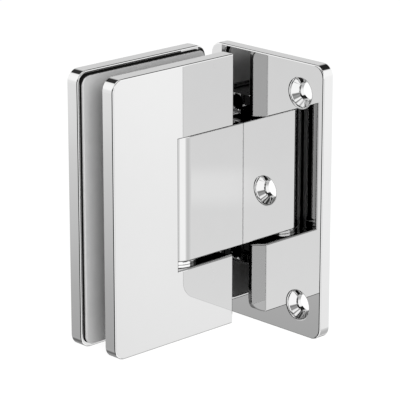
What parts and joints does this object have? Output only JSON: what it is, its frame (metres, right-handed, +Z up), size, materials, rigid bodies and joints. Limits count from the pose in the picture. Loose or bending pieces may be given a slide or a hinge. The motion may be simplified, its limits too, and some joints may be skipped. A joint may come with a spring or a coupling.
{
  "type": "glass door hinge",
  "caption": "Wall-to-glass shower door hinge: offset wall plate with countersunk holes, pivot block with a sprung latch inside, and two clamp plates with gaskets that grip a glass door.",
  "frame": {"origin": "on the back of the wall plate, level with the middle of the glass and half way up", "axes": "+X out of the back of the wall plate into the wall, +Y to the rear plate, away from the wall plate's long wing, +Z up along the pivot axis"},
  "size_m": [0.0634, 0.0526, 0.09],
  "materials": {
    "chrome_plating": "polished",
    "screw_steel": "turned",
    "spring_steel": "drawn wire",
    "bearing_plastic": "matte",
    "gasket_rubber": "satin"
  },
  "bodies": {
    "wall_side": {"wall_plate": "chrome_plating", "pivot_block": "chrome_plating", "upper_block_screw": "screw_steel", "lower_block_screw": "screw_steel", "upper_bushing": "bearing_plastic", "lower_bushing": "bearing_plastic", "upper_spring": "spring_steel", "lower_spring": "spring_steel"},
    "door_clamp": {"front_clamp_plate": "chrome_plating", "rear_clamp_plate": "chrome_plating", "front_gasket": "gasket_rubber", "rear_gasket": "gasket_rubber", "pivot_pin": "screw_steel", "upper_thrust_washer": "bearing_plastic", "lower_thrust_washer": "bearing_plastic", "upper_clamp_screw": "screw_steel", "lower_clamp_screw": "screw_steel", "upper_pin_set_screw": "screw_steel", "lower_pin_set_screw": "screw_steel"},
    "upper_plunger_body": {"upper_plunger": "screw_steel"},
    "lower_plunger_body": {"lower_plunger": "screw_steel"}
  },
  "joints": [
    {"name": "door_swing", "type": "hinge", "parent": "wall_side", "child": "door_clamp", "pos_m": [-0.0277, 0, 0], "axis": [0, 0, 1], "range_deg": [-90, 90]},
    {"name": "upper_plunger_slide", "type": "slide", "parent": "wall_side", "child": "upper_plunger_body", "axis": [-1, 0, 0], "range_m": [0, 0.0007], "deforming": ["upper_spring"]},
    {"name": "lower_plunger_slide", "type": "slide", "parent": "wall_side", "child": "lower_plunger_body", "axis": [-1, 0, 0], "range_m": [0, 0.0007], "deforming": ["lower_spring"]}
  ]
}
